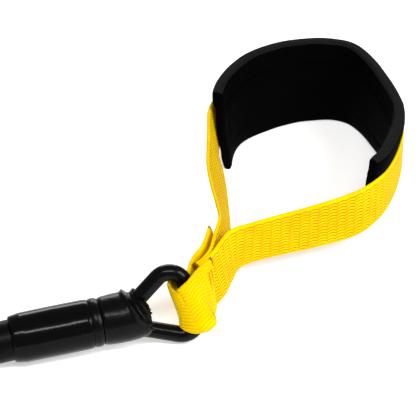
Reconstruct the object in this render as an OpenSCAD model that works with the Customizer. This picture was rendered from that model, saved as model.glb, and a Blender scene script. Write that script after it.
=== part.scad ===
// End of an elastic training cord: a padded hand loop of woven webbing, sewn to a
// triangular ring that is held in the moulded end of a thick elastic cord.
// Millimetres, +Z up. The origin is on the table, at the middle of the hand loop.

/* [Ring] */
// Side of the ring's triangle along the wire's centre line, corner to corner
ring_side = 38; // [37.5:0.5:39]
// Diameter of the ring's wire
ring_wire = 7; // [6:0.5:7]
// Radius of the ring's corners along the wire's centre line
ring_corner = 6.5; // [6.5:0.25:7]

/* [Moulded end] */
// Largest radius of the moulded end
boot_r = 10.4; // [10.2:0.1:10.6]
// Distance from the ring's hinge line to the mouth of the moulded end
boot_mouth = 8; // [7.8:0.1:8.4]
// Play between the ring's wire and the eye that holds it
eye_play = 0.35; // [0.3:0.05:0.45]
// Forward limit of the ring's rocking in its eye, in degrees ahead of upright
rock_max = 16; // [16:1:18]
// Backward limit of the ring's rocking, in degrees ahead of upright
rock_min = 6; // [4:1:7]

/* [Cord] */
// Outer diameter of the elastic cord
cord_d = 17; // [16.8:0.1:17]
// Bore of the elastic cord
cord_bore = 9; // [9:0.1:9.6]
// Length of the smooth sleeve over the cord's end
sleeve_l = 33; // [30:0.5:33]

/* [Webbing] */
// Width of the woven webbing
web_w = 25; // [24:0.5:25]
// Thickness of the woven webbing
web_t = 1.5; // [1.2:0.1:1.6]
// Width of the webbing where it is gathered round the ring
web_fold_w = 19; // [17:0.5:19]

/* [Hand pad] */
// Height of the pad as it stands on its edge
pad_h = 42; // [38:1:44]
// Thickness of the pad's foam
foam_t = 2.8; // [2:0.1:3.2]
// Thickness of each of the pad's two linings
lining_t = 0.7; // [0.5:0.1:0.8]

/* [Hidden] */

GAP = 0.05;                 // gap between pieces that are assembled without glue
JOIN_L = 0.3;               // overlap of the ring's sides over its corners
JOIN_D = 0.08;              // and their extra diameter
SLOT_SPARE = 1;             // the slot's walls stand this far past the ring's limits, in degrees
EDGE = 0.8;                 // rounding of moulded edges
FINE = 96;                  // facets of a full turn on the moulded pieces

// The moulded end, in its own frame: +Z is its axis towards the mouth, X the eye's axis,
// and the origin is the hinge line where the ring's wire crosses the axis.
NECK_Z = -11;               // step down behind the bulge
NECK_R = 8.6;               // neck behind the bulge, under the band
BOOT_BACK = -16.3;          // back of the moulded end, where the sleeve starts
BAND_R = 9.9;
BAND_Z = [-15.2, -12.2];
POST_R = 1.9;               // post across the eye, which keeps the ring in
POST_Z = 6;
STEM_R = 3;                 // stem of the anchor plug
STEM_TIP = -7;
PLUG_END = -42;
BARB_R = 4.4;
BARB_PITCH = 6;
FERRULE_Z = [-38, -18];
SLEEVE_END = BOOT_BACK - sleeve_l;
SLEEVE_WALL_R = 9.25;       // bore of the sleeve over the ferrule
LIP_L = 3.5;                // length of the sleeve's closing lip

// Place and turn of the near end: [point, heading, rise, roll of the eye, rock, skew]
NEAR_AT = [-77.3, -90.1, 12.6];
NEAR_TURN = [14.5, 2.2, 160, -11, 12];

// The cord lies on the table, goes round the coil and ends inside it.
COIL_C = [-265, 1];         // middle of the coil
COIL_R0 = 110;              // radius of the cord's centre line where the coil starts
COIL_R1 = 83.3;             // and where it ends
COIL_END = 65;              // direction from the coil's middle to its end, in degrees
TAIL_R = 50;                // bend of the cord's tail inside the coil
TAIL_TURN = 130;
REST_Z = cord_d / 2;
NEAR_OUT = NEAR_AT + SLEEVE_END * axis_of(NEAR_TURN);
RUN_ROUTE = [
    NEAR_OUT, [-140, -105.5, 9.4], [-156, -107.8, REST_Z], [-175, -109, REST_Z],
    [-200, -109, REST_Z], [-225, -109, REST_Z], [-245, -109, REST_Z],
    [COIL_C.x, COIL_C.y - COIL_R0, REST_Z]
];
TAIL_START = COIL_C + COIL_R1 * [cos(COIL_END), sin(COIL_END)];
TAIL_MID = COIL_C + (COIL_R1 - TAIL_R) * [cos(COIL_END), sin(COIL_END)];
TAIL_AIM = COIL_END - TAIL_TURN;
FAR_HEADING = TAIL_AIM - 90;
FAR_Z = boot_r + 0.1;
FAR_RISE = 0;
FAR_ROLL = -90;
FAR_ROCK = -15.1;
FAR_STRAIGHT = 4;           // straight cord before the far sleeve
TAIL_OUT = TAIL_MID + TAIL_R * [cos(TAIL_AIM), sin(TAIL_AIM)];
FAR_DIR = [cos(FAR_HEADING), sin(FAR_HEADING)];
FAR_IN = TAIL_OUT + FAR_STRAIGHT * FAR_DIR;
FAR_AT = [
    FAR_IN.x - SLEEVE_END * FAR_DIR.x,
    FAR_IN.y - SLEEVE_END * FAR_DIR.y,
    FAR_Z
];
TAIL_STEPS = 10;
TAIL_ROUTE = [
    for (i = [0 : TAIL_STEPS])
        let (a = COIL_END - TAIL_TURN * i / TAIL_STEPS, rise = max(0, i - 6) / 4)
        [
            TAIL_MID.x + TAIL_R * cos(a),
            TAIL_MID.y + TAIL_R * sin(a),
            REST_Z + (FAR_Z - REST_Z) * rise
        ],
    [FAR_IN.x, FAR_IN.y, FAR_Z]
];

// The ring's bar carries the webbing: its middle, its direction and the way the neck leaves.
RING_H = ring_side * sqrt(3) / 2;
BAR_MID = near_point([0, 0, RING_H - ring_corner]);
BAR_DIR = unit(near_point([1, 0, RING_H - ring_corner]) - BAR_MID);
NECK_DIR = unit(across([0.6, 0.79, 0], BAR_DIR));
NECK_FRONT = cross(NECK_DIR, BAR_DIR);

// Route of the loop's webbing, hand-set stations [x, y, z, tilt x, tilt y] at its middle.
// It leaves the ring, runs along the near side, round the pad and back to the ring.
WEB_Z = pad_h / 2;
NEAR_SIDE = [
    [-46.6, -81.2, 19.2, -0.25, 0.1], [-43.9, -77.6, 19.5, -0.2, 0],
    [-39.7, -72, 20, -0.12, -0.08], [-35.8, -64.5, 20.5, -0.05, -0.1],
    [-33, -59, WEB_Z, 0, -0.1], [-28, -54.5, WEB_Z, 0, -0.14],
    [-18, -50, WEB_Z, 0, -0.13], [-7.5, -46.3, WEB_Z, 0, -0.08],
    [3, -42.4, WEB_Z, 0, 0], [13.5, -37.7, WEB_Z, 0, 0],
    [21, -32.3, WEB_Z, 0, 0]
];
PAD_SIDE = [
    [27, -26.5, WEB_Z, 0, 0], [32, -19.5, WEB_Z, 0, 0],
    [37, -8.3, WEB_Z, 0, 0], [40.5, 3, WEB_Z, 0, 0],
    [41.8, 13, WEB_Z, 0, 0], [40.7, 21, WEB_Z, 0, 0],
    [38.5, 29, WEB_Z, 0, 0], [34.2, 41.8, WEB_Z, 0, 0],
    [29.4, 52.2, WEB_Z, 0, 0], [24, 59.8, WEB_Z, 0, 0],
    [17, 63.7, WEB_Z, 0, 0], [7, 65.2, WEB_Z, 0, 0],
    [-4, 63.9, WEB_Z, 0, 0], [-15.2, 60.2, WEB_Z, 0, 0],
    [-25.8, 53.9, WEB_Z, 0, 0], [-32.8, 46.5, WEB_Z, 0, 0],
    [-38, 38, WEB_Z, 0, 0], [-41, 30, WEB_Z, 0, 0],
    [-42.4, 23, WEB_Z, 0, 0]
];
FAR_SIDE = [
    [-42.4, 16, WEB_Z, -0.2, 0.02], [-41.6, 8, WEB_Z, -0.27, 0],
    [-40.7, -3, WEB_Z, -0.33, 0], [-40.1, -15, WEB_Z, -0.37, 0],
    [-39, -27.6, WEB_Z, -0.34, 0], [-37.7, -41, WEB_Z, -0.26, 0],
    [-37.4, -50, WEB_Z, -0.22, 0], [-38.2, -56, 20.8, -0.24, 0],
    [-39.6, -63, 20.5, -0.25, 0], [-41.6, -70.6, 20, -0.22, 0],
    [-45.1, -76.6, 19.5, -0.2, 0.02], [-47.8, -80.2, 19.2, -0.25, 0.1]
];
ROUTE_STEPS = 4;
LOOP_ROUTE = [for (s = smooth(concat(NEAR_SIDE, PAD_SIDE, FAR_SIDE), ROUTE_STEPS)) [each s, web_w]];
PAD_ROUTE = smooth(PAD_SIDE, ROUTE_STEPS);

// The tab: from its cut end on the front, round the ring's bar and up the back of the neck.
FOLD_R = 6.2;
FOLD_FROM = 75;
FOLD_STEPS = 14;
TAB_ROUTE = concat(
    [[-42.6, -78.5, 19.5, -0.2, 0, web_w]],
    [fold_end(8, 3.7)],
    [for (i = [0 : FOLD_STEPS]) fold_station(FOLD_FROM + i * (360 - 2 * FOLD_FROM) / FOLD_STEPS)],
    [fold_end(8, -3.7)],
    [[-47.4, -75.5, 19.5, -0.2, 0.02, web_w], [-44.4, -69.5, 20, -0.2, 0, web_w],
     [-42.2, -63, 20.6, -0.25, 0, web_w], [-41.2, -57.5, WEB_Z, -0.28, 0, web_w]]
);

// Threads, drawn as thin flat bands
THREAD_T = 0.4;
THREAD_W = 1;
NECK_ROWS = [[9.6, 3.9], [11.8, 3.3]];
ROW_INSET = 1;              // distance of a stitch row from the webbing's edge
TACK_H = 21;
PAD_OUT = web_t / 2 + GAP;
PAD_IN = PAD_OUT + 2 * lining_t + foam_t + 2 * GAP;

function unit(v) = v / norm(v);
function across(v, axis) = v - (v * axis) * axis;
function clamp_index(i, n) = max(0, min(n - 1, i));

// A point on a smooth curve through p[1] and p[2]
function between(p, t) =
    0.5 * (2 * p[1] + (p[2] - p[0]) * t + (2 * p[0] - 5 * p[1] + 4 * p[2] - p[3]) * t * t
    + (3 * p[1] - p[0] - 3 * p[2] + p[3]) * t * t * t);

// The same route with n steps between each pair of its points
function smooth(route, n) = [
    for (i = [0 : len(route) - 2])
        let (p = [for (k = [-1 : 2]) route[clamp_index(i + k, len(route))]])
            for (j = [0 : n - 1]) between(p, j / n),
    route[len(route) - 1]
];

// Turns about the axes, and the frame of a moulded end
function about_x(p, a) = [p.x, p.y * cos(a) - p.z * sin(a), p.y * sin(a) + p.z * cos(a)];
function about_y(p, a) = [p.x * cos(a) + p.z * sin(a), p.y, -p.x * sin(a) + p.z * cos(a)];
function about_z(p, a) = [p.x * cos(a) - p.y * sin(a), p.x * sin(a) + p.y * cos(a), p.z];
function end_turn(p, turn) = about_z(about_y(about_z(p, turn[2]), 90 - turn[1]), turn[0]);
function axis_of(turn) = end_turn([0, 0, 1], turn);

// A point of the near ring, given in the ring's own frame with its eye end at the origin
function near_point(p) =
    let (skewed = about_y(p - [0, 0, ring_corner], NEAR_TURN[4]) + [0, 0, ring_corner])
        NEAR_AT + end_turn(about_x(skewed, NEAR_TURN[3]), NEAR_TURN);

function heading_at(route, i) =
    unit(point_of(route[clamp_index(i + 1, len(route))])
       - point_of(route[clamp_index(i - 1, len(route))]));
function point_of(station) = [station[0], station[1], station[2]];
function tilt_of(station) =
    let (x = station[3], y = station[4]) [x, y, sqrt(1 - x * x - y * y)];

// Stations of the webbing's fold, in the plane across the bar
function fold_station(a) =
    [each BAR_MID + FOLD_R * (cos(a) * NECK_DIR + sin(a) * NECK_FRONT),
     BAR_DIR.x, BAR_DIR.y, web_fold_w];
function fold_end(along, front) =
    [each BAR_MID + along * NECK_DIR + front * NECK_FRONT, -0.26, 0.15, web_w];

// Corners of a flat strap's section at station i
function strap_section(route, i, thick) =
    let (
        heading = heading_at(route, i),
        wide = unit(across(tilt_of(route[i]), heading)) * route[i][5] / 2,
        out = unit(cross(heading, wide)) * thick / 2,
        p = point_of(route[i])
    ) [p - wide - out, p - wide + out, p + wide + out, p + wide - out];

// Corners of a round cord's section at station i
function cord_section(route, i, r, sides) =
    let (
        heading = heading_at(route, i),
        side = unit(cross(heading, [0, 0, 1])),
        up = cross(side, heading)
    ) [for (k = [0 : sides - 1])
        let (a = 360 * k / sides)
            point_of(route[i]) + r * (cos(a) * side + sin(a) * up)];

// Joins a list of sections with the same number of corners into one closed solid
module skin(sections) {
    n = len(sections[0]);
    last = len(sections) - 1;
    polyhedron(
        points = [for (s = sections) each s],
        faces = concat(
            [[for (k = [0 : n - 1]) k]],
            [for (i = [0 : last - 1], k = [0 : n - 1])
                [i * n + k, (i + 1) * n + k, i * n + (k + 1) % n]],
            [for (i = [0 : last - 1], k = [0 : n - 1])
                [(i + 1) * n + k, (i + 1) * n + (k + 1) % n, i * n + (k + 1) % n]],
            [[for (k = [n - 1 : -1 : 0]) last * n + k]]
        )
    );
}

module strap(route, thick) {
    skin([for (i = [0 : len(route) - 1]) strap_section(route, i, thick)]);
}

// A round cord. Its flat sides touch the true round surface, one of them along the bottom.
module cord_tube(route, sides) {
    r = cord_d / 2 / cos(180 / sides);
    skin([for (i = [0 : len(route) - 1]) cord_section(route, i, r, sides)]);
}

// A point at a distance outside the pad side of the route, seen from above
function beside(route, i, out) =
    let (h = heading_at(route, i)) [route[i].x + h.y * out, route[i].y - h.x * out];

// An upright band that follows the pad side of the route, between two distances inside it
module pad_band(from, to, low, high, first = 0, last = len(PAD_ROUTE) - 1) {
    outer = [for (i = [first : last]) beside(PAD_ROUTE, i, -from)];
    inner = [for (i = [last : -1 : first]) beside(PAD_ROUTE, i, -to)];
    translate([0, 0, low])
        linear_extrude(high - low)
            polygon(concat(outer, inner));
}

// Puts a piece drawn in a moulded end's frame in its place
module at_end(point, turn) {
    translate(point)
        rotate([0, 90 - turn[1], turn[0]])
            rotate([0, 0, turn[2]])
                children();
}

module at_near() {
    at_end(NEAR_AT, NEAR_TURN) children();
}

module at_far() {
    at_end(FAR_AT, [FAR_HEADING, FAR_RISE, FAR_ROLL]) children();
}

// The ring's own shape: eye end at the origin, bar along X at the far end of +Z.
// Its straight sides are a hair thicker than its corners and close over their ends.
module ring_shape() {
    mid = RING_H * 2 / 3 - ring_corner;
    straight = ring_side - 2 * ring_corner * sqrt(3) + 2 * JOIN_L;
    translate([0, 0, mid])
        rotate([90, 0, 0])
            for (corner = [0 : 2])
                rotate([0, 0, 120 * corner]) {
                    translate([0, -RING_H * 2 / 3 + 2 * ring_corner])
                        rotate([0, 0, -150])
                            rotate_extrude(angle = 120, $fn = FINE)
                                translate([ring_corner, 0])
                                    circle(d = ring_wire, $fn = FINE / 2);
                    translate([-straight / 2, RING_H / 3])
                        rotate([0, 90, 0])
                            cylinder(d = ring_wire + JOIN_D, h = straight, $fn = FINE / 2);
                }
}

// The slot that the ring rocks in: a round eye that opens towards the mouth.
// Its two walls stand at the ring's two limits.
module eye_slot() {
    r = ring_wire / 2 + eye_play;
    w = r - GAP;
    reach = 2 * boot_mouth;
    front = rock_max + SLOT_SPARE;
    back = SLOT_SPARE - rock_min;
    across_all = 4 * boot_r;
    rotate([0, 90, 0])
        cylinder(r = r, h = across_all, center = true, $fn = FINE);
    rotate([90, 0, 90])
        linear_extrude(across_all, center = true)
            polygon([
                [-w * cos(back), -w * sin(back)], [w * cos(front), -w * sin(front)],
                [w * cos(front) + reach * sin(front), reach * cos(front) - w * sin(front)],
                [-w * cos(back) - reach * sin(back), reach * cos(back) - w * sin(back)]
            ]);
}

module boot_shape() {
    mouth_r = boot_r - 0.4;
    difference() {
        rotate_extrude($fn = FINE)
            polygon([
                [0, BOOT_BACK], [NECK_R, BOOT_BACK], [NECK_R, NECK_Z], [boot_r - 1.4, NECK_Z],
                [boot_r - 0.6, NECK_Z + 1.5], [boot_r - 0.1, NECK_Z + 5], [boot_r, -2],
                [boot_r - 0.1, 2], [mouth_r, boot_mouth - EDGE], [mouth_r - EDGE, boot_mouth],
                [0, boot_mouth]
            ]);
        eye_slot();
        translate([0, 0, BOOT_BACK - 1])
            cylinder(r = STEM_R + GAP, h = STEM_TIP - BOOT_BACK + 1, $fn = FINE);
    }
    translate([0, boot_r * 0.8, POST_Z])
        rotate([90, 0, 0])
            cylinder(r = POST_R, h = 1.6 * boot_r, $fn = FINE / 2);
}

module band_shape() {
    mid = (BAND_Z[0] + BAND_Z[1]) / 2;
    half = (BAND_Z[1] - BAND_Z[0]) / 2;
    rotate_extrude($fn = FINE)
        polygon([
            [NECK_R + GAP, mid - half], [BAND_R - EDGE, mid - half], [BAND_R, mid - half / 3],
            [BAND_R, mid + half / 3], [BAND_R - EDGE, mid + half], [NECK_R + GAP, mid + half]
        ]);
}

module sleeve_shape() {
    lip_r = cord_d / 2 + GAP;
    rotate_extrude($fn = FINE)
        polygon([
            [SLEEVE_WALL_R, BOOT_BACK - GAP], [boot_r - EDGE, BOOT_BACK - GAP],
            [boot_r - EDGE / 4, BOOT_BACK - EDGE], [boot_r, BOOT_BACK - 4 * EDGE],
            [boot_r, SLEEVE_END + 2 * EDGE], [boot_r - EDGE, SLEEVE_END],
            [lip_r, SLEEVE_END], [lip_r, SLEEVE_END + LIP_L - 1],
            [SLEEVE_WALL_R, SLEEVE_END + LIP_L]
        ]);
}

module ferrule_shape() {
    translate([0, 0, FERRULE_Z[0]])
        difference() {
            cylinder(r = SLEEVE_WALL_R - GAP, h = FERRULE_Z[1] - FERRULE_Z[0], $fn = FINE);
            translate([0, 0, -1])
                cylinder(d = cord_d + 2 * GAP, h = FERRULE_Z[1] - FERRULE_Z[0] + 2, $fn = FINE);
        }
}

// A barbed stem: its smooth end sits in the moulded end, its barbs in the cord's bore
module plug_shape() {
    barbs = 3;
    first = FERRULE_Z[1] - 2;
    translate([0, 0, PLUG_END])
        cylinder(r = STEM_R, h = STEM_TIP - GAP - PLUG_END, $fn = FINE);
    for (i = [0 : barbs - 1])
        rotate_extrude($fn = FINE)
            polygon([
                [0, first - i * BARB_PITCH], [BARB_R, first - i * BARB_PITCH],
                [STEM_R, first - (i + 0.8) * BARB_PITCH], [0, first - (i + 0.8) * BARB_PITCH]
            ]);
}

module tube_end_shape() {
    top = BOOT_BACK - 0.5;
    translate([0, 0, SLEEVE_END])
        difference() {
            cylinder(d = cord_d, h = top - SLEEVE_END, $fn = FINE);
            translate([0, 0, LIP_L])
                cylinder(d = cord_bore, h = top - SLEEVE_END, $fn = FINE);
        }
}

module ring_boot() {
    color([0.1, 0.1, 0.1]) at_near() boot_shape();
}

module boot_band() {
    color([0.13, 0.13, 0.13]) at_near() band_shape();
}

module end_sleeve() {
    color([0.09, 0.09, 0.09]) at_near() sleeve_shape();
}

module crimp_ferrule() {
    color([0.6, 0.6, 0.6]) at_near() ferrule_shape();
}

module anchor_plug() {
    color([0.55, 0.5, 0.35]) at_near() plug_shape();
}

module tube_end() {
    color([0.12, 0.12, 0.12]) at_near() tube_end_shape();
}

module hand_ring() {
    color([0.12, 0.12, 0.13])
        at_near()
            rotate([NEAR_TURN[3], 0, 0])
                translate([0, 0, ring_corner])
                    rotate([0, NEAR_TURN[4], 0])
                        translate([0, 0, -ring_corner])
                            ring_shape();
}

module ring_tab() {
    color([0.95, 0.8, 0.05]) strap(TAB_ROUTE, web_t);
}

// Two rows of thread on each face of the neck, at [distance from the bar, from the middle]
module neck_stitching() {
    color([0.8, 0.65, 0.05])
        for (row = NECK_ROWS, face = [-1, 1])
            strap([
                for (step = [-0.5, 0.5])
                    [each BAR_MID + (row[0] + step * THREAD_W) * NECK_DIR + face * row[1] * NECK_FRONT,
                     -0.22, 0.05, web_fold_w]
            ], THREAD_T);
}

module loop_webbing() {
    color([0.97, 0.83, 0.02]) strap(LOOP_ROUTE, web_t);
}

module pad_outer_lining() {
    color([0.08, 0.08, 0.08]) pad_band(PAD_OUT, PAD_OUT + lining_t, 0, pad_h);
}

module pad_foam() {
    from = PAD_OUT + lining_t + GAP;
    color([0.2, 0.2, 0.2]) pad_band(from, from + foam_t, 0, pad_h);
}

module pad_inner_lining() {
    color([0.07, 0.07, 0.07]) pad_band(PAD_IN - lining_t, PAD_IN, 0, pad_h);
}

// One row of thread: a band inside the pad, over the inner lining
module stitch_row(z) {
    color([0.03, 0.03, 0.03])
        pad_band(PAD_IN + 0.01, PAD_IN + THREAD_T, z - THREAD_W / 2, z + THREAD_W / 2,
            1, len(PAD_ROUTE) - 2);
}

module pad_stitch_upper() {
    stitch_row(WEB_Z + web_w / 2 - ROW_INSET);
}

module pad_stitch_lower() {
    stitch_row(WEB_Z - web_w / 2 + ROW_INSET);
}

// A cross tack: an upright line of thread on the inner lining near one end of the pad
module cross_tack(i) {
    color([0.03, 0.03, 0.03])
        pad_band(PAD_IN + 0.01, PAD_IN + THREAD_T, WEB_Z - TACK_H / 2, WEB_Z + TACK_H / 2, i, i + 1);
}

module pad_tack_right() {
    cross_tack(2);
}

module pad_tack_left() {
    cross_tack(len(PAD_ROUTE) - 4);
}

module cord_run() {
    color([0.12, 0.12, 0.12]) cord_tube(smooth(RUN_ROUTE, 2), 10);
}

// The outer shape of the coil's turns
module cord_coil() {
    low = COIL_R1 - cord_d / 2;
    high = COIL_R0 + cord_d / 2;
    round = cord_d / 4;
    color([0.12, 0.12, 0.12])
        translate([COIL_C.x, COIL_C.y, 0])
            rotate_extrude($fn = FINE)
                polygon([
                    [low + round, 0], [high - round, 0], [high, round], [high, cord_d - round],
                    [high - round, cord_d], [low + round, cord_d], [low, cord_d - round], [low, round]
                ]);
}

module cord_tail() {
    color([0.12, 0.12, 0.12]) cord_tube(TAIL_ROUTE, 10);
}

module far_tube_end() {
    color([0.12, 0.12, 0.12]) at_far() tube_end_shape();
}

module far_sleeve() {
    color([0.09, 0.09, 0.09]) at_far() sleeve_shape();
}

module far_ferrule() {
    color([0.6, 0.6, 0.6]) at_far() ferrule_shape();
}

module far_plug() {
    color([0.55, 0.5, 0.35]) at_far() plug_shape();
}

module far_band() {
    color([0.13, 0.13, 0.13]) at_far() band_shape();
}

module far_boot() {
    color([0.1, 0.1, 0.1]) at_far() boot_shape();
}

module far_ring() {
    color([0.12, 0.12, 0.13]) at_far() rotate([FAR_ROCK, 0, 0]) ring_shape();
}

ring_boot();
boot_band();
end_sleeve();
crimp_ferrule();
anchor_plug();
tube_end();
hand_ring();
ring_tab();
neck_stitching();
loop_webbing();
pad_outer_lining();
pad_foam();
pad_inner_lining();
pad_stitch_upper();
pad_stitch_lower();
pad_tack_right();
pad_tack_left();
cord_run();
cord_coil();
cord_tail();
far_tube_end();
far_sleeve();
far_ferrule();
far_plug();
far_band();
far_boot();
far_ring();
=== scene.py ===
"""The looks of the cord end with its padded hand loop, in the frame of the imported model."""

import math

import bmesh
import bpy
from mathutils import Matrix, Vector, noise


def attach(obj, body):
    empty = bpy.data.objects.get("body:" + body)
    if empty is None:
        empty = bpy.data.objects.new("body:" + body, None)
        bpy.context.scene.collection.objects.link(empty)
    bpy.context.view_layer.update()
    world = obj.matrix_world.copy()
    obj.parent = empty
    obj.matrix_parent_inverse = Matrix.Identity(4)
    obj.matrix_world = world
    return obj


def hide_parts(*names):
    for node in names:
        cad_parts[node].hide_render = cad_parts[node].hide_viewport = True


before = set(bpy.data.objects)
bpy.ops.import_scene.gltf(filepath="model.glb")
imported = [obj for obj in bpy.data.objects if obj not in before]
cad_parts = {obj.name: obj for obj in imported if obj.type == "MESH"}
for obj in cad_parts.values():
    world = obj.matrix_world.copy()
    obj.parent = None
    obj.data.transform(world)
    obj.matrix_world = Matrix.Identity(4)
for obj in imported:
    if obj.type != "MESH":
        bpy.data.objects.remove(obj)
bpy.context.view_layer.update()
MM = 0.001


def mm(p):
    return Vector(p[:3]) * MM


# ---------------------------------------------------------------- camera
def make_camera():
    data = bpy.data.cameras.new("camera")
    data.sensor_width = 36
    data.lens = 169.7
    data.clip_start = 0.02
    cam = bpy.data.objects.new("camera", data)
    bpy.context.scene.collection.objects.link(cam)
    cam.location = mm((-44, -686.1, 569.4))
    cam.rotation_euler = (math.radians(50), 0, 0)
    bpy.context.scene.camera = cam


make_camera()


# ---------------------------------------------------------------- routes
def between(p, t):
    """The curve through p[1] and p[2], at t from 0 to 1, bent by their two neighbours."""
    return 0.5 * (
        2 * p[1]
        + (p[2] - p[0]) * t
        + (2 * p[0] - 5 * p[1] + 4 * p[2] - p[3]) * t * t
        + (3 * p[1] - p[0] - 3 * p[2] + p[3]) * t * t * t
    )


def smooth(route, step):
    """A smooth curve through the route's points, with stations about step apart."""
    pts = [Vector(p) for p in route]
    out = []
    for i in range(len(pts) - 1):
        q = [pts[max(0, min(len(pts) - 1, i + k))] for k in (-1, 0, 1, 2)]
        n = max(1, round((mm(q[2]) - mm(q[1])).length / MM / step))
        out += [between(q, j / n) for j in range(n)]
    return out + [pts[-1]]


def ease(t):
    """Rises smoothly from 0 to 1 as t does, and stays level outside."""
    t = max(0.0, min(1.0, t))
    return t * t * (3 - 2 * t)


def bell(x, middle, width):
    return math.exp(-(((x - middle) / width) ** 2))


def about(axis, degrees):
    return Matrix.Rotation(math.radians(degrees), 4, axis)


def end_frame(point, plan, rise, spin):
    """A cord end's frame: its axis at plan degrees in the table's plane and rise degrees up."""
    return Matrix.Translation(point) @ about("Z", plan) @ about("Y", 90 - rise) @ about("Z", spin)


# The moulded end's own frame, in millimetres: +Z to its mouth, X along the ring's hinge
RING_SIDE, RING_CORNER = 38, 6.5
RING_H = RING_SIDE * math.sqrt(3) / 2
BOOT_BACK, SLEEVE_END = -16.3, -49.3
CORD_R = 8.5
NEAR_AT = Vector((-77.3, -90.1, 12.6))
NEAR = end_frame(NEAR_AT, 14.5, 2.2, 160)
NEAR_RING = (
    NEAR
    @ about("X", -11)
    @ Matrix.Translation((0, 0, RING_CORNER))
    @ about("Y", 12)
    @ Matrix.Translation((0, 0, -RING_CORNER))
)
BAR_MID = NEAR_RING @ Vector((0, 0, RING_H - RING_CORNER))
BAR_DIR = (NEAR_RING @ Vector((1, 0, RING_H - RING_CORNER)) - BAR_MID).normalized()
NECK_DIR = Vector((0.6, 0.79, 0))
NECK_DIR = (NECK_DIR - NECK_DIR.dot(BAR_DIR) * BAR_DIR).normalized()
NECK_FRONT = NECK_DIR.cross(BAR_DIR)

COIL_C = Vector((-265, 1, CORD_R))
COIL_R0, COIL_R1, COIL_END = 110, 83.3, 65
TAIL_R, TAIL_TURN = 50, 130
FAR_Z = 10.5


def polar(centre, r, degrees):
    a = math.radians(degrees)
    return centre + Vector((r * math.cos(a), r * math.sin(a), 0))


TAIL_MID = polar(COIL_C, COIL_R1 - TAIL_R, COIL_END)
TAIL_AIM = COIL_END - TAIL_TURN
FAR_DIR = polar(Vector(), 1, TAIL_AIM - 90)
FAR_IN = polar(TAIL_MID, TAIL_R, TAIL_AIM) + 4 * FAR_DIR
FAR_IN.z = FAR_Z
FAR_AT = FAR_IN - SLEEVE_END * FAR_DIR
FAR = end_frame(FAR_AT, TAIL_AIM - 90, 0, -90)


# ---------------------------------------------------------------- cord
def cord_route():
    out = NEAR @ Vector((0, 0, SLEEVE_END))
    route = [
        out,
        (-132, -104.2, 10.1),
        (-140, -105.5, 9.4),
        (-148, -106.9, 8.8),
        (-156, -107.8, 8.5),
        (-175, -109, 8.5),
        (-200, -109, 8.5),
        (-225, -109, 8.5),
        (-245, -109, 8.5),
    ]
    spiral = 565
    for i in range(33):
        turn = spiral * i / 32
        route.append(polar(COIL_C, COIL_R0 + (COIL_R1 - COIL_R0) * turn / spiral, 270 - turn))
    for i in range(1, 13):
        p = polar(TAIL_MID, TAIL_R, COIL_END - TAIL_TURN * i / 12)
        p.z = CORD_R + (FAR_Z - CORD_R) * max(0, i - 7) / 5
        route.append(p)
    route.append(FAR_IN)
    return [mm(p) for p in route]


def link(obj):
    bpy.context.scene.collection.objects.link(obj)
    return obj


def make_cord():
    curve = bpy.data.curves.new("elastic_cord", "CURVE")
    curve.dimensions = "3D"
    curve.bevel_depth = CORD_R * MM
    curve.bevel_resolution = 10
    curve.use_fill_caps = True
    curve.resolution_u = 8
    points = cord_route()
    spline = curve.splines.new("BEZIER")
    spline.bezier_points.add(len(points) - 1)
    for bp, p in zip(spline.bezier_points, points):
        bp.co = p
        bp.handle_left_type = bp.handle_right_type = "AUTO"
    spline.use_smooth = True
    return link(bpy.data.objects.new("elastic_cord", curve)), points


cord, cord_points = make_cord()
CORD_LENGTH = sum((b - a).length for a, b in zip(cord_points, cord_points[1:]))


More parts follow.
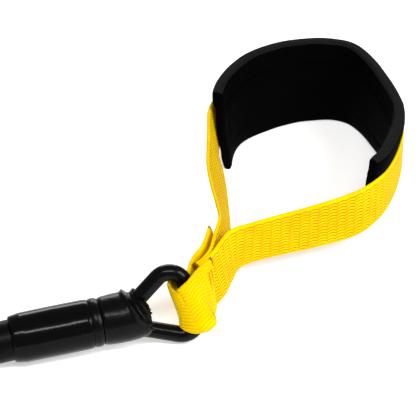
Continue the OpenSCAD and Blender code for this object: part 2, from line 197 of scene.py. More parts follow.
# ---------------------------------------------------------------- materials
class Graph:
    """A node material, with the arithmetic written as calls."""

    def __init__(self, name):
        self.mat = bpy.data.materials.new(name)
        self.mat.use_nodes = True
        self.nodes = self.mat.node_tree.nodes
        self.links = self.mat.node_tree.links
        self.bsdf = self.nodes["Principled BSDF"]

    def put(self, socket, value):
        if hasattr(value, "is_output"):
            self.links.new(value, socket)
        elif isinstance(value, (tuple, list)) and len(value) == 3 and socket.type == "RGBA":
            socket.default_value = (*value, 1)
        else:
            socket.default_value = value

    def add(self, kind, **inputs):
        node = self.nodes.new(kind)
        for key, value in inputs.items():
            if key.startswith("_"):
                setattr(node, key[1:], value)
        for key, value in inputs.items():
            if not key.startswith("_"):
                self.put(node.inputs[key.replace("_", " ")], value)
        return node

    def math(self, op, a, b=0.0, c=0.0):
        node = self.nodes.new("ShaderNodeMath")
        node.operation = op
        for socket, value in zip(node.inputs, (a, b, c)):
            self.put(socket, value)
        return node.outputs[0]

    def step(self, x, low, high):
        """0 below low, 1 above high, smooth between."""
        node = self.nodes.new("ShaderNodeMapRange")
        node.interpolation_type = "SMOOTHSTEP"
        for socket, value in zip(node.inputs, (x, low, high, 0.0, 1.0)):
            self.put(socket, value)
        return node.outputs[0]

    def mix(self, factor, a, b):
        node = self.nodes.new("ShaderNodeMix")
        node.data_type = "RGBA"
        self.put(node.inputs[0], factor)
        self.put(node.inputs[6], a)
        self.put(node.inputs[7], b)
        return node.outputs[2]

    def noise(self, scale, detail=3.0, rough=0.5):
        node = self.nodes.new("ShaderNodeTexNoise")
        node.inputs["Scale"].default_value = scale
        node.inputs["Detail"].default_value = detail
        node.inputs["Roughness"].default_value = rough
        self.links.new(self.place(), node.inputs["Vector"])
        return node.outputs["Fac"]

    def place(self):
        return self.add("ShaderNodeTexCoord").outputs["Object"]

    def uv(self):
        node = self.add("ShaderNodeSeparateXYZ", Vector=self.add("ShaderNodeTexCoord").outputs["UV"])
        return node.outputs[0], node.outputs[1]

    def bump(self, height, distance, strength=1.0, normal=None):
        node = self.nodes.new("ShaderNodeBump")
        node.inputs["Strength"].default_value = strength
        node.inputs["Distance"].default_value = distance
        self.links.new(height, node.inputs["Height"])
        if normal:
            self.links.new(normal, node.inputs["Normal"])
        return node.outputs[0]

    def finish(self, color=None, roughness=None, normal=None, **more):
        for name, value in (("Base Color", color), ("Roughness", roughness), ("Normal", normal)):
            if value is not None:
                self.put(self.bsdf.inputs[name], value)
        for name, value in more.items():
            self.put(self.bsdf.inputs[name.replace("_", " ")], value)
        return self.mat


def triangle(g, x, pitch):
    """A wave along x: 1 at whole pitches, 0 halfway between."""
    whole = g.math("FRACT", g.math("DIVIDE", x, pitch))
    return g.math("ABSOLUTE", g.math("SUBTRACT", g.math("MULTIPLY", whole, 2.0), 1.0))


def webbing_material(name, strength):
    """Woven webbing with painted shade in its grooves. U runs along the strap and V across it, in
    millimetres.
    """
    g = Graph(name)
    u, v = g.uv()
    wobble = g.math("MULTIPLY", g.math("SUBTRACT", g.noise(260, 2.0), 0.5), 0.5)
    turn = g.math("MULTIPLY", g.math("ADD", u, wobble), math.pi / 4.35)
    scallop = g.math("ABSOLUTE", g.math("SINE", turn))
    rows = g.math("SUBTRACT", g.math("DIVIDE", v, 1.62), g.math("MULTIPLY", scallop, 0.5))
    groove = g.step(triangle(g, rows, 1.0), 0.5, 0.95)
    rib_edge = g.step(scallop, 0.45, 0.05)
    pits = g.math("MULTIPLY", groove, g.math("SUBTRACT", 1.0, g.math("MULTIPLY", rib_edge, 0.4)))
    edge = g.step(g.math("ABSOLUTE", v), 10.6, 11.4)
    body = g.math("SUBTRACT", 1.0, edge)
    # strength scales both the painted groove shade and the groove bump.
    pits = g.math("MULTIPLY", g.math("MULTIPLY", pits, body), strength)
    ribs = g.math("MULTIPLY", g.math("MULTIPLY", rib_edge, body), strength)
    selvedge = g.math("MULTIPLY", g.step(triangle(g, g.math("ADD", u, v), 1.1), 0.5, 1.0), edge)
    tone = g.step(g.noise(90, 3.0), 0.35, 0.7)
    bright = g.mix(tone, (0.88, 0.57, 0.0), (0.93, 0.65, 0.0))
    # Painted shade: the colour darkens to orange in the weave's grooves (pits) and on the rib edges between
    # its columns, where the bump also sinks.
    color = g.mix(g.math("MULTIPLY", pits, 0.9), bright, (0.4, 0.17, 0.0))
    color = g.mix(g.math("MULTIPLY", ribs, 0.45), color, (0.6, 0.27, 0.0))
    # Painted shade, a little, along the selvedge's sunk twill lines.
    color = g.mix(g.math("MULTIPLY", selvedge, 0.18), color, (0.85, 0.5, 0.0))
    singe = g.add("ShaderNodeAttribute", _attribute_name="singe").outputs["Fac"]
    scorch = g.step(g.math("ADD", singe, g.math("MULTIPLY", g.noise(700, 2.0), 0.4)), 0.75, 1.15)
    color = g.mix(scorch, color, (0.26, 0.09, 0.004))
    sunk = g.math("ADD", g.math("MULTIPLY", pits, 0.8), g.math("MULTIPLY", ribs, 0.3))
    height = g.math("SUBTRACT", 1.0, sunk)
    height = g.math("SUBTRACT", height, g.math("MULTIPLY", selvedge, 0.25))
    fibres = g.bump(g.noise(2600, 2.0), 0.00006, 0.5)
    normal = g.bump(height, 0.00038, 0.85, fibres)
    return g.finish(color, 0.7, normal, Specular_IOR_Level=0.03)


def thread_material(name, color, deep, shine=0.15):
    """Sewing thread: two plies that twist round each other along U, with painted shade in the grooves between
    them.
    """
    g = Graph(name)
    u, v = g.uv()
    twist = triangle(g, g.math("ADD", u, g.math("MULTIPLY", v, 1.2)), 0.55)
    ply = g.step(twist, 0.4, 1.0)
    # Painted shade: the colour turns to deep in the sunk grooves between the plies.
    return g.finish(g.mix(ply, color, deep), 0.6, g.bump(ply, -0.0001, 0.8), Specular_IOR_Level=shine)


def lining_material():
    """Black knit lining: fine courses, a little lint and dust, paler in random patches."""
    g = Graph("black_lining")
    u, v = g.uv()
    course = triangle(g, g.math("ADD", v, g.math("MULTIPLY", triangle(g, u, 0.9), 0.35)), 0.7)
    knit = g.step(course, 0.3, 1.0)
    lint = g.step(g.noise(1500, 2.0, 0.7), 0.66, 0.8)
    cloud = g.noise(45, 4.0, 0.6)
    color = g.mix(cloud, (0.0005, 0.0005, 0.0006), (0.0014, 0.0014, 0.0015))
    color = g.mix(g.math("MULTIPLY", lint, 0.2), color, (0.02, 0.02, 0.021))
    normal = g.bump(knit, 0.00012, 0.5, g.bump(g.noise(70, 3.0), 0.0012, 0.35))
    return g.finish(color, 0.85, normal, Specular_IOR_Level=0.015)


def foam_material():
    """The foam's cut edge: small open cells between the two linings, with painted shade in their hollows."""
    g = Graph("foam_edge")
    cell = g.add("ShaderNodeTexVoronoi", Scale=2200.0, Vector=g.place()).outputs["Distance"]
    # Painted shade: darker in the sunk hollows of the cells, lighter on the cell walls.
    color = g.mix(g.step(cell, 0.1, 0.6), (0.002, 0.002, 0.0022), (0.009, 0.009, 0.010))
    return g.finish(color, 0.85, g.bump(cell, 0.0002, 0.6), Specular_IOR_Level=0.06)


def moulded_material(name, color, rough, orange=0.25):
    """Moulded black plastic: faint flow marks, pimples and handling scuffs."""
    g = Graph(name)
    flow = g.noise(120, 4.0, 0.55)
    specks = g.step(g.noise(1400, 2.0, 0.6), 0.7, 0.8)
    scuff = g.step(g.noise(300, 5.0, 0.7), 0.58, 0.75)
    tone = g.mix(g.math("MULTIPLY", scuff, 0.35), color, tuple(2.2 * c + 0.003 for c in color))
    tone = g.mix(g.math("MULTIPLY", specks, 0.2), tone, (0.08, 0.08, 0.08))
    gloss = g.math("ADD", g.math("MULTIPLY", scuff, 0.16), rough)
    normal = g.bump(flow, 0.0012, orange, g.bump(specks, 0.0001, 0.3))
    return g.finish(tone, gloss, normal, Specular_IOR_Level=0.1)


def rubber_material():
    """Elastic cord: matt rubber skin with a faint fine grain and bloom."""
    g = Graph("cord_rubber")
    bloom = g.step(g.noise(60, 5.0, 0.6), 0.45, 0.75)
    grain = g.noise(1800, 2.0, 0.6)
    color = g.mix(g.math("MULTIPLY", bloom, 0.4), (0.0025, 0.0025, 0.0028), (0.006, 0.006, 0.0065))
    gloss = g.math("ADD", g.math("MULTIPLY", bloom, 0.14), 0.36)
    normal = g.bump(grain, 0.00008, 0.4, g.bump(g.noise(40, 3.0), 0.001, 0.15))
    return g.finish(color, gloss, normal, Specular_IOR_Level=0.06)


def coated_material():
    """Black coated wire: thick gloss coat with a soft orange peel and rubbed spots."""
    g = Graph("black_coated_wire")
    peel = g.noise(500, 2.0, 0.4)
    rub = g.step(g.noise(160, 4.0, 0.6), 0.6, 0.72)
    color = g.mix(g.math("MULTIPLY", rub, 0.3), (0.002, 0.002, 0.0021), (0.008, 0.008, 0.0085))
    gloss = g.math("ADD", g.math("MULTIPLY", rub, 0.15), 0.2)
    return g.finish(color, gloss, g.bump(peel, 0.0003, 0.2), Specular_IOR_Level=0.12)


def metal_material(name, color, rough):
    """Turned metal with fine tool marks."""
    g = Graph(name)
    marks = g.noise(900, 3.0, 0.6)
    tone = g.mix(marks, color, tuple(c * 0.8 for c in color))
    return g.finish(tone, rough, g.bump(marks, 0.0001, 0.4), Metallic=1.0)


WEB = webbing_material("yellow_webbing", 1.0)
# The tab's copy of the webbing is a lit copy for the fold that faces the light: its painted groove shade and
# its groove bump are at 0.38 strength.
WEB_SOFT_LESS_SHADE = webbing_material("yellow_webbing_tab", 0.38)
WEB_THREAD = thread_material("yellow_thread", (0.9, 0.62, 0.01), (0.5, 0.25, 0.0))
PAD_THREAD = thread_material("black_thread", (0.0012, 0.0012, 0.0012), (0.0004, 0.0004, 0.0004), 0.01)
LINING = lining_material()
FOAM = foam_material()
MOULDED = moulded_material("moulded_end", (0.002, 0.002, 0.0021), 0.26)
SLEEVE = moulded_material("smooth_sleeve", (0.0015, 0.0015, 0.0016), 0.15, 0.08)
RUBBER = rubber_material()
COATED = coated_material()
ALUMINIUM = metal_material("ferrule_metal", (0.72, 0.72, 0.72), 0.35)
BRASS = metal_material("plug_metal", (0.65, 0.5, 0.25), 0.35)


def paint(node, material):
    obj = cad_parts[node]
    for s in obj.material_slots:
        s.material = material
    if not obj.material_slots:
        obj.data.materials.append(material)


for n in ("tube_end", "far_tube_end"):
    paint(n, RUBBER)
for n in ("crimp_ferrule", "far_ferrule"):
    paint(n, ALUMINIUM)
for n in ("anchor_plug", "far_plug"):
    paint(n, BRASS)
for n in ("hand_ring", "far_ring"):
    paint(n, COATED)
cord.data.materials.append(RUBBER)


# ---------------------------------------------------------------- mesh helpers
def make_mesh(name, verts, faces, materials, uvs=None, face_material=None):
    """uvs: one (u, v) for each corner of each face, in the faces' order."""
    mesh = bpy.data.meshes.new(name)
    mesh.from_pydata([tuple(v) for v in verts], [], faces)
    if uvs:
        layer = mesh.uv_layers.new(name="UVMap")
        layer.data.foreach_set("uv", [c for face in uvs for uv in face for c in uv])
    for m in materials:
        mesh.materials.append(m)
    if face_material:
        mesh.polygons.foreach_set("material_index", face_material)
    mesh.polygons.foreach_set("use_smooth", [True] * len(mesh.polygons))
    mesh.update()
    return link(bpy.data.objects.new(name, mesh))


def loft(name, sections, materials, uv_of=None, closed=False, caps=True, face_material=None):
    """Joins rings of points into a closed skin. uv_of(i, j) gives a corner's UV."""
    n, rows = len(sections[0]), len(sections)
    verts = [p for s in sections for p in s]
    faces, uvs, picks = [], [], []
    for i in range(rows if closed else rows - 1):
        for j in range(n):
            corner = ((i, j), (i + 1, j), (i + 1, j + 1), (i, j + 1))
            faces.append([(a % rows) * n + b % n for a, b in corner])
            if uv_of:
                uvs.append([uv_of(a, b) for a, b in corner])
            picks.append(face_material(i, j) if face_material else 0)
    if caps and not closed:
        for row, order in ((0, range(n)), (rows - 1, range(n - 1, -1, -1))):
            faces.append([row * n + j for j in order])
            if uv_of:
                uvs.append([uv_of(row, j) for j in order])
            picks.append(face_material(row, 0) if face_material else 0)
    return make_mesh(name, verts, faces, materials, uvs, picks)


def headings(points):
    last = len(points) - 1
    return [(points[min(last, i + 1)] - points[max(0, i - 1)]).normalized() for i in range(last + 1)]


def lengths(points):
    out = [0.0]
    for a, b in zip(points, points[1:]):
        out.append(out[-1] + (b - a).length)
    return out


# ---------------------------------------------------------------- webbing
WEB_W, WEB_T = 25, 1.5
ACROSS = 22


def strap(name, stations, cloth, singe, seed=0.0):
    """A woven strap along stations (x, y, z, tilt x, tilt y, width), with rounded selvedges."""
    points = [Vector(s[:3]) for s in stations]
    heads = headings(points)
    along = lengths(points)
    half_t = WEB_T / 2
    sections = []
    profile = []
    for k in range(ACROSS + 1):
        x = -1 + 2 * k / ACROSS
        x = math.copysign(abs(x) ** 0.85, x)
        profile.append((x, math.sqrt(max(0.0, 1 - abs(x) ** 14))))
    ring = profile + [(x, -h) for x, h in reversed(profile[1:-1])]
    for i, (p, h) in enumerate(zip(points, heads)):
        tilt = Vector((stations[i][3], stations[i][4], 0))
        tilt.z = math.sqrt(1 - tilt.length_squared)
        wide = (tilt - tilt.dot(h) * h).normalized()
        out = h.cross(wide)
        half = stations[i][5] / 2
        row = []
        for x, t in ring:
            ripple = 0.12 * math.sin(along[i] * 2 * math.pi / 4.3 + seed) * (abs(x) > 0.97)
            row.append(mm(p + wide * (x * half + math.copysign(ripple, x)) + out * (t * half_t)))
        sections.append(row)
    count = len(ring)

    def uv_of(i, j):
        x = ring[j % count][0]
        return (along[min(i, len(along) - 1)] + seed, x * stations[min(i, len(points) - 1)][5] / 2)

    obj = loft(name, sections, [cloth], uv_of)
    mark = obj.data.attributes.new("singe", "FLOAT", "POINT")
    values = []
    for i in range(len(points)):
        for x, _ in ring:
            values.append(singe(along[i], along[-1], x))
    mark.data.foreach_set("value", values)
    return obj


WEB_Z = 21
NEAR_SIDE = [
    (-46.6, -81.2, 19.2, -0.25, 0.1), (-43.9, -77.4, 19.5, -0.22, 0.04),
    (-40.2, -72, 19.9, -0.22, 0), (-37.3, -65.4, 20.3, -0.21, -0.08),
    (-34.8, -60.4, 20.5, -0.2, -0.15), (-32, -57.1, 20.6, -0.17, -0.17),
    (-27.9, -54.4, 20.6, -0.13, -0.17), (-22.5, -51.8, 20.6, -0.09, -0.14),
    (-13, -48.2, 20.7, -0.05, -0.1), (-3.5, -44.9, 20.8, -0.03, -0.06),
    (7.6, -40.5, WEB_Z, -0.02, -0.02), (15.2, -36.9, WEB_Z, 0, 0.02),
    (21.7, -32.7, WEB_Z, 0, 0.03),
]
PAD_SIDE = [
    (27.3, -27, WEB_Z, 0.02, 0.03), (32.4, -19.9, WEB_Z, 0.03, 0.02),
    (37.3, -8.5, WEB_Z, 0.03, 0.02), (40.5, 3, WEB_Z, 0.02, 0.04),
    (41.8, 13, WEB_Z, -0.02, 0.06), (40.7, 21, WEB_Z, -0.04, 0.07),
    (38.5, 29, WEB_Z, -0.05, 0.07), (34.2, 41.8, WEB_Z, -0.05, 0.07),
    (29.4, 52.2, WEB_Z, -0.05, 0.07), (24, 59.8, WEB_Z, -0.05, 0.07),
    (17, 63.7, WEB_Z, -0.05, 0.07), (7, 65.2, WEB_Z, -0.05, 0.07),
    (-4, 63.9, WEB_Z, -0.05, 0.07), (-15.2, 60.2, WEB_Z, -0.05, 0.07),
    (-25.8, 53.9, WEB_Z, -0.05, 0.07), (-32.8, 46.5, WEB_Z, -0.05, 0.07),
    (-38, 38, WEB_Z, -0.07, 0.07), (-41, 30, WEB_Z, -0.12, 0.06),
    (-42.4, 23, WEB_Z, -0.17, 0.04),
]
FAR_SIDE = [
    (-42.4, 16, WEB_Z, -0.2, 0.02), (-41.6, 8, WEB_Z, -0.27, 0),
    (-41.1, -3, WEB_Z, -0.33, 0), (-40.7, -15, WEB_Z, -0.37, 0),
    (-39.6, -27.6, WEB_Z, -0.34, 0), (-38.2, -41, WEB_Z, -0.26, 0),
    (-37.4, -50, WEB_Z, -0.22, 0), (-38.2, -56, 20.8, -0.24, 0),
    (-39.6, -63, 20.5, -0.25, 0), (-41.6, -70.6, 20, -0.22, 0),
    (-45.1, -76.6, 19.5, -0.2, 0.02), (-47.8, -80.2, 19.2, -0.25, 0.1),
]


def full_width(route):
    return [(*s, WEB_W) for s in route]


def end_singe(reach):
    """Scorched where the strap was cut with heat, most at its upper corner."""

    def singe(s, total, x):
        near = max(0.0, 1 - min(s, total - s) / reach)
        return 1.3 * near * max(0.0, (x - 0.3) / 0.7)

    return singe


loop_route = smooth(full_width(NEAR_SIDE + PAD_SIDE + FAR_SIDE), 1.2)
loop_strap = strap("loop_strap", loop_route, WEB, end_singe(2.6))

FOLD_R = 6.2


def fold_station(degrees):
    """The tab bulges past the ring's lower corner in front, and is gathered between its arms."""
    a = math.radians(degrees)
    upper = 11.8 - 4.8 * bell(degrees, 165, 42) - 1.6 * ease((degrees - 190) / 60)
    lower = -11.2 - 2.6 * bell(degrees, 130, 38)
    r = FOLD_R + 0.7 * bell(degrees, 130, 40) + 0.4 * bell(degrees, 195, 30)
    p = BAR_MID + r * (math.cos(a) * NECK_DIR + math.sin(a) * NECK_FRONT)
    p += (upper + lower) / 2 * BAR_DIR
    return (*p, BAR_DIR.x, BAR_DIR.y, upper - lower)


def fold_end(along, front):
    """A leg of the fold: along the neck from the ring's bar, and front or back of its middle."""
    return (*(BAR_MID + along * NECK_DIR + front * NECK_FRONT), -0.26, 0.15, 24)


tab_route = (
    [(-42.6, -78.5, 19.5, -0.2, 0, WEB_W), fold_end(8, 3.7)]
    + [fold_station(75 + 15 * i) for i in range(15)]
    + [
        fold_end(8, -3.7),
        (-48.6, -75.2, 19.7, -0.2, 0.02, WEB_W), (-45.5, -69.6, 20.2, -0.2, 0, WEB_W),
        (-42.8, -63, 20.8, -0.24, 0, WEB_W), (-41.2, -57, 21.3, -0.27, 0, WEB_W),
    ]
)
tab = strap("ring_tab_strap", smooth(tab_route, 0.7), WEB_SOFT_LESS_SHADE, end_singe(3.0), seed=1.5)


# ---------------------------------------------------------------- pad
PAD_FROM, PAD_THICK, PAD_H = 0.85, 4.9, 42.5
LOWER_ROW, UPPER_ROW = 9.5, 32.5


def pad_frame(stations):
    """The stations' points, the ways into the loop, and the lengths so far."""
    points = [Vector(s[:3]) for s in stations]
    heads = headings(points)
    return points, [Vector((-h.y, h.x, 0)).normalized() for h in heads], lengths(points)


pad_stations = smooth(PAD_SIDE, 1.0)
pad_points, pad_in, pad_along = pad_frame(pad_stations)


def pad_place(i, depth, z):
    """A point of the pad, depth inside the webbing's middle line and z above the table."""
    tilt = Vector((pad_stations[i][3], pad_stations[i][4], 0))
    end = pad_along[-1] - pad_along[i]
    upper_share = 0.55 - 0.4 * ease((50 - end) / 40)
    lean = tilt * ((z - WEB_Z) if z < WEB_Z else upper_share * (z - WEB_Z))
    p = pad_points[i] + pad_in[i] * depth + lean
    p.z = z
    return mm(p)


def pad_low(i):
    """The pad's lower edge rises towards its two ends."""
    start, end = pad_along[i], pad_along[-1] - pad_along[i]
    return 9 * ease((46 - start) / 26) + 2.4 * ease((92 - start) / 46) + 1.6 * bell(end, 17, 13)


def make_pad():
    """The pad's body: linings on both faces, cut foam on its edges."""
    deep = 10
    high = 26
    sections = []
    ring = []
    for k in range(high + 1):
        ring.append((k / high, 0.0))
    for k in range(1, deep):
        ring.append((1.0, k / deep))
    for k in range(high, -1, -1):
        ring.append((k / high, 1.0))
    for k in range(deep - 1, 0, -1):
        ring.append((0.0, k / deep))
    last = len(pad_points) - 1
    for i in range(len(pad_points)):
        low = pad_low(i)
        row = []
        end = min(pad_along[i], pad_along[-1] - pad_along[i])
        pinch = 1 - 0.25 * max(0.0, 1 - end / 2.5)
        for t, d in ring:
            z = low + (PAD_H - low) * t
            edge = min(t, 1 - t) * (PAD_H - low)
            crown = 1 - 0.16 * math.exp(-edge / 1.2)
            for stitch in (LOWER_ROW, UPPER_ROW):
                crown -= 0.14 * math.exp(-(((z - stitch) / 1.1) ** 2)) * d
            n = noise.noise(Vector((pad_along[i] * 0.05, z * 0.06, d * 2))) * 0.35
            depth = PAD_FROM + PAD_THICK * (0.5 + (d - 0.5) * crown * pinch) + n * d
            depth -= 1.5 * ease((z - 32) / 6) * (1 - 0.5 * d) + 0.3 * ease((9 - z) / 5)
            depth += 1.6 * bell(pad_along[-1] - pad_along[i], 42, 24) * ease((14 - z) / 10)
            lift = 0.35 * noise.noise(Vector((pad_along[i] * 0.09, 4.0, d)))
            round_edge = 0.5 * (1 - math.cos(math.pi * min(1.0, min(d, 1 - d) * 4))) - 0.5
            z_out = z + (lift + round_edge * 0.9) * (1 if t > 0.5 else -1) * (edge < 3)
            row.append(pad_place(i, depth, max(0.0, z_out)))
        sections.append(row)
    total = len(ring)

    def uv_of(i, j):
        t, d = ring[j % total]
        return (pad_along[min(i, last)], t * PAD_H + d * 5)

    def pick(i, j):
        a, b = ring[j % total], ring[(j + 1) % total]
        return 1 if 0 < (a[1] + b[1]) / 2 < 1 else 0

    return loft("hand_pad", sections, [LINING, FOAM], uv_of, face_material=pick)


pad = make_pad()


def thread_run(name, path_points, normal_of, material, stitch=3.0, radius=0.28):
    """A row of stitches: short threads that dip into the cloth at each hole."""
    verts, faces, uvs = [], [], []
    along = lengths(path_points)
    count = int(along[-1] / stitch)
    sides = 6

    def at(s):
        k = max(i for i in range(len(along)) if along[i] <= s + 1e-9)
        k = min(k, len(along) - 2)
        t = (s - along[k]) / (along[k + 1] - along[k])
        return path_points[k].lerp(path_points[k + 1], t), k

    for n in range(count):
        rings = []
        for q in range(7):
            s = (n + 0.06 + 0.88 * q / 6) * stitch
            p, k = at(s)
            out = normal_of(k)
            head = (path_points[k + 1] - path_points[k]).normalized()
            side = head.cross(out)
            rise = math.sin(math.pi * q / 6) * 0.45 - 0.35
            centre = p + out * (rise * radius * 2 + radius * 0.4)
            rings.append([
                mm(centre + radius * (math.cos(a) * side + math.sin(a) * out))
                for a in (2 * math.pi * c / sides for c in range(sides))
            ])
        base = len(verts)
        for r in rings:
            verts += r
        for q in range(6):
            for c in range(sides):
                d = (c + 1) % sides
                here, there = base + q * sides, base + (q + 1) * sides
                faces.append([here + c, here + d, there + d, there + c])
                uvs.append([(q * 0.45, c), (q * 0.45, c + 1), (q * 0.45 + 0.45, c + 1), (q * 0.45 + 0.45, c)])
        faces.append([base + c for c in range(sides - 1, -1, -1)])
        uvs.append([(0, c) for c in range(sides)])
        faces.append([base + 6 * sides + c for c in range(sides)])
        uvs.append([(3, c) for c in range(sides)])
    return make_mesh(name, verts, faces, [material], uvs)


def pad_row(name, z, first, last):
    pts = [pad_place(i, PAD_FROM + PAD_THICK * 0.93, z) / MM for i in range(first, last)]
    return thread_run(name, pts, lambda k: pad_in[first + k], PAD_THREAD)


LAST = len(pad_points)
rows = {
    "pad_stitch_upper": pad_row("stitch_row_upper", UPPER_ROW, 3, LAST - 3),
    "pad_stitch_lower": pad_row("stitch_row_lower", LOWER_ROW, 8, LAST - 3),
}


def pad_tack(name, i):
    pts = [pad_place(i, PAD_FROM + PAD_THICK * 1.0, z) / MM for z in [10.5 + k for k in range(22)]]
    return thread_run(name, pts, lambda k: pad_in[i], PAD_THREAD, 2.6)


rows["pad_tack_right"] = pad_tack("cross_tack_right", 10)
rows["pad_tack_left"] = pad_tack("cross_tack_left", LAST - 8)


def neck_rows():
    """Stitches across the neck, front and back."""
    lean = Vector((-0.22, 0.05, 0.974))
    parts = []
    for along, front in ((9.6, 3.95), (11.8, 3.3)):
        for face in (-1, 1):
            mid = BAR_MID + along * NECK_DIR + face * front * NECK_FRONT
            wide = (lean - lean.dot(NECK_DIR) * NECK_DIR).normalized()
            pts = [mid + wide * (t - 9) for t in range(0, 19)]
            parts.append(
                thread_run(f"neck_{along}_{face}", pts, lambda k: face * NECK_FRONT, WEB_THREAD, 2.4)
            )
    bm = bmesh.new()
    for part in parts:
        bm.from_mesh(part.data)
    mesh = bpy.data.meshes.new("neck_stitches")
    bm.to_mesh(mesh)
    bm.free()
    mesh.materials.append(WEB_THREAD)
    for part in parts:
        bpy.data.objects.remove(part)
    return link(bpy.data.objects.new("neck_stitches", mesh))


rows["neck_stitching"] = neck_rows()


# ---------------------------------------------------------------- moulded ends
def lathe(name, profile, place, material, steps=96, wobble=0.0, seed=0.0):
    """Turns a closed profile of (radius, z) round an end's axis; place is that end's frame."""
    sections = []
    for k in range(steps):
        a = 2 * math.pi * k / steps
        row = []
        for r, z in profile:
            if wobble and r > 1:
                spot = Vector((math.cos(a) * 1.4 + seed, math.sin(a) * 1.4, z * 0.12))
                r += wobble * noise.noise(spot)
            row.append(mm(place @ Vector((r * math.cos(a), r * math.sin(a), z))))
        sections.append(row)
    return loft(name, sections, [material], closed=True)


def rounded(profile, radius, steps=4):
    """A closed profile with its corners rounded."""
    out = []
    n = len(profile)
    for i in range(n):
        p, a, b = Vector(profile[i]), Vector(profile[i - 1]), Vector(profile[(i + 1) % n])
        cut = min(radius, (a - p).length * 0.45, (b - p).length * 0.45)
        s, e = p + (a - p).normalized() * cut, p + (b - p).normalized() * cut
        for k in range(steps + 1):
            t = k / steps
            out.append((1 - t) ** 2 * s + 2 * t * (1 - t) * p + t * t * e)
    return [(p.x, p.y) for p in out]


def sleeve(name, place):
    profile = rounded([
        (9.3, BOOT_BACK - 0.1), (10.1, BOOT_BACK - 0.1), (10.35, BOOT_BACK - 1.6),
        (10.4, -30), (10.35, -44.5), (9.75, SLEEVE_END + 1.2), (9.45, SLEEVE_END),
        (CORD_R + 0.1, SLEEVE_END), (CORD_R + 0.1, SLEEVE_END + 3), (9.3, SLEEVE_END + 3.6),
    ], 0.5)
    return lathe(name, profile, place, SLEEVE, wobble=0.1)


def band(name, place):
    profile = rounded([
        (8.6, -16.3), (9.8, -16.3), (9.9, -15.9), (10.25, -15.0), (10.25, -13.6), (9.9, -12.7),
        (9.75, -12.3), (8.6, -12.3),
    ], 0.4)
    return lathe(name, profile, place, MOULDED, wobble=0.08, seed=3.0)


def apply_modifiers(obj):
    dg = bpy.context.evaluated_depsgraph_get()
    mesh = bpy.data.meshes.new_from_object(obj.evaluated_get(dg))
    obj.modifiers.clear()
    old = obj.data
    obj.data = mesh
    bpy.data.meshes.remove(old)


def eye_cutter():
    """The slot that the ring rocks in. It follows the ring's bend and opens towards the mouth."""
    r, front, back, reach = 3.85, math.radians(17), math.radians(5), 30
    outer = RING_CORNER + r
    sections = []
    for k in range(-26, 27):
        x = k / 2
        if abs(x) < outer * math.sin(math.pi / 3):
            centre = outer - math.sqrt(outer * outer - x * x)
        else:
            centre = outer / 2 + (abs(x) - outer * math.sin(math.pi / 3)) * math.sqrt(3)
        shape = []
        for j in range(25):
            t = j / 24
            turn = back + (front - back) * t
            a = math.pi - back + (math.pi + back - front) * t
            y, z = centre * math.sin(turn) + r * math.cos(a), centre * math.cos(turn) + r * math.sin(a)
            shape.append((y, z))
        shape.append((shape[-1][0] + reach * math.sin(front), shape[-1][1] + reach * math.cos(front)))
        shape.append((shape[0][0] + reach * math.sin(back), shape[0][1] + reach * math.cos(back)))
        sections.append([mm((x, y, z)) for y, z in shape])
    cutter = loft("cutter", sections, [MOULDED])
    bm = bmesh.new()
    bm.from_mesh(cutter.data)
    bmesh.ops.recalc_face_normals(bm, faces=bm.faces)
    bm.to_mesh(cutter.data)
    bm.free()
    return cutter


def join(obj, other, operation):
    step = obj.modifiers.new(operation, "BOOLEAN")
    step.operation = operation
    step.solver = "EXACT"
    step.object = other
    apply_modifiers(obj)
    bpy.data.objects.remove(other)


def ridged(p):
    """Raises two moulded ridges, a groove between them, on the shoulder that the ring's arm leaves."""
    r = math.hypot(p.x, p.y)
    if r < 5:
        return p
    along = p.z + 0.5 * p.x
    fade = ease((p.x + 2.5) / 5) * ease((r - 6.5) / 2)
    ridges = 0.95 * bell(along, 3.7, 0.85) - 0.75 * bell(along, 6.1, 1.0) + 0.8 * bell(along, 8.3, 0.8)
    rise = fade * ridges
    return Vector((p.x * (1 + rise / r), p.y * (1 + rise / r), p.z))


FLASH_AT = (62, 71, 97, 112, 118, 241, 250, 285, 292)


def boot(name, place):
    """The moulded end: a bulged body with a slot for the ring, a post across it and some flash."""
    outline = rounded([
        (0.0, BOOT_BACK), (8.6, BOOT_BACK), (8.6, -12.3), (9.5, -12.1), (10.1, -10.9),
        (10.45, -6), (10.5, -1), (10.2, 3), (9.8, 6.6), (9.0, 8.0), (0.0, 8.0),
    ], 0.7)
    body = lathe(name, outline, Matrix.Identity(4), MOULDED)
    join(body, eye_cutter(), "DIFFERENCE")
    post_outline = rounded([(0, -8.6), (1.9, -8.6), (1.9, 8.6), (0, 8.6)], 0.3)
    across = Matrix.Translation((0, 0, 6)) @ about("X", 90)
    join(body, lathe("post", post_outline, across, MOULDED, 32), "UNION")
    for k, degrees in enumerate(FLASH_AT):
        a = math.radians(degrees)
        more = 0.4 * (k % 3)
        spur_outline = rounded([(0, -0.5), (0.75, -0.5), (0.45, 0.9 + more), (0, 1.1 + more)], 0.1)
        at_lip = Matrix.Translation((9.3 * math.cos(a), 9.3 * math.sin(a), 7.3))
        at_lip = at_lip @ about("Z", math.degrees(a)) @ about("Y", 25 + 12 * (k % 4))
        join(body, lathe("spur", spur_outline, at_lip, MOULDED, 10), "UNION")
    shell = body.modifiers.new("remesh", "REMESH")
    shell.mode = "VOXEL"
    shell.voxel_size = 0.0003
    soft = body.modifiers.new("soft", "SMOOTH")
    soft.factor = 0.5
    soft.iterations = 6
    apply_modifiers(body)
    for vert in body.data.vertices:
        vert.co = ridged(vert.co / MM) * MM
    body.data.transform(Matrix.Scale(MM, 4) @ place @ Matrix.Scale(1 / MM, 4))
    body.data.polygons.foreach_set("use_smooth", [True] * len(body.data.polygons))
    return body


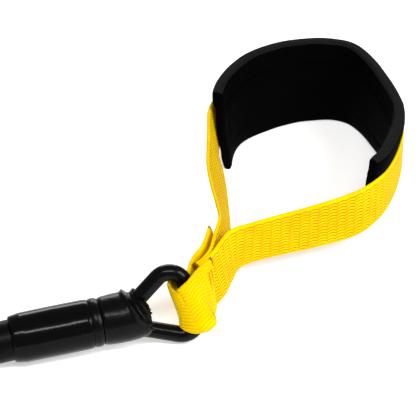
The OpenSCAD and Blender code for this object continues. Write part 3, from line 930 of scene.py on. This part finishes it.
ends = {
    "near": (sleeve("near_sleeve", NEAR), band("near_band", NEAR), boot("near_boot", NEAR)),
    "far": (sleeve("far_sleeve_skin", FAR), band("far_band_skin", FAR), boot("far_boot_skin", FAR)),
}


# ---------------------------------------------------------------- riding and stage
def rides(obj, body, slot, *nodes):
    """obj moves with body, and is seen in place of the CAD nodes."""
    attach(obj, body)
    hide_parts(*nodes)


rides(loop_strap, "hand_loop", "webbing", "loop_webbing")
rides(tab, "hand_loop", "webbing", "ring_tab")
rides(pad, "hand_loop", "lining", "pad_outer_lining", "pad_foam", "pad_inner_lining")
for node, obj in rows.items():
    rides(obj, "hand_loop", "web_thread" if node == "neck_stitching" else "pad_thread", node)
for which, nodes in (
    ("near", ("end_sleeve", "boot_band", "ring_boot")),
    ("far", ("far_sleeve", "far_band", "far_boot")),
):
    for obj, slot, node in zip(ends[which], ("sleeve", "moulding", "moulding"), nodes):
        rides(obj, "cord_end", slot, node)
rides(cord, "cord_end", "cord", "cord_run", "cord_coil", "cord_tail")

far_pieces = list(ends["far"]) + [
    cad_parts[n] for n in ("far_tube_end", "far_ferrule", "far_plug", "far_ring")
]
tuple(cord_points[0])


def make_stage():
    mesh = bpy.data.meshes.new("floor")
    half = 6.0
    corners = [(-half, -half, 0), (half, -half, 0), (half, half, 0), (-half, half, 0)]
    mesh.from_pydata(corners, [], [(0, 1, 2, 3)])
    floor = link(bpy.data.objects.new("floor", mesh))
    floor.location.z = -0.0002
    g = Graph("pale_floor")
    grain = g.noise(30, 2.0)
    pale = g.mix(grain, (0.9, 0.9, 0.9), (0.92, 0.92, 0.92))
    mesh.materials.append(
        g.finish(pale, 0.9, Specular_IOR_Level=0.0, Emission_Color=(1, 1, 1), Emission_Strength=0.45)
    )
    bpy.context.scene.view_settings.view_transform = "Standard"
    world = bpy.data.worlds.new("studio")
    bpy.context.scene.world = world
    world.use_nodes = True
    back = world.node_tree.nodes["Background"]
    back.inputs["Color"].default_value = (1, 1, 1, 1)
    back.inputs["Strength"].default_value = 0.3
    for name, place, size, power in (
        ("key", (-0.05, -0.72, 1.26), (0.8, 0.1), 10.0),
        ("side", (0.75, -0.4, 0.8), (0.5, 0.5), 9.0),
        ("rim", (-0.1, 1.3, 0.35), (0.9, 0.4), 8.0),
    ):
        data = bpy.data.lights.new(name, "AREA")
        data.shape = "RECTANGLE"
        data.size, data.size_y = size
        data.energy = power
        lamp = link(bpy.data.objects.new(name, data))
        lamp.location = place
        aim = Vector((-0.04, -0.03, 0.02)) - Vector(place)
        lamp.rotation_euler = aim.to_track_quat("-Z", "Y").to_euler()


make_stage()
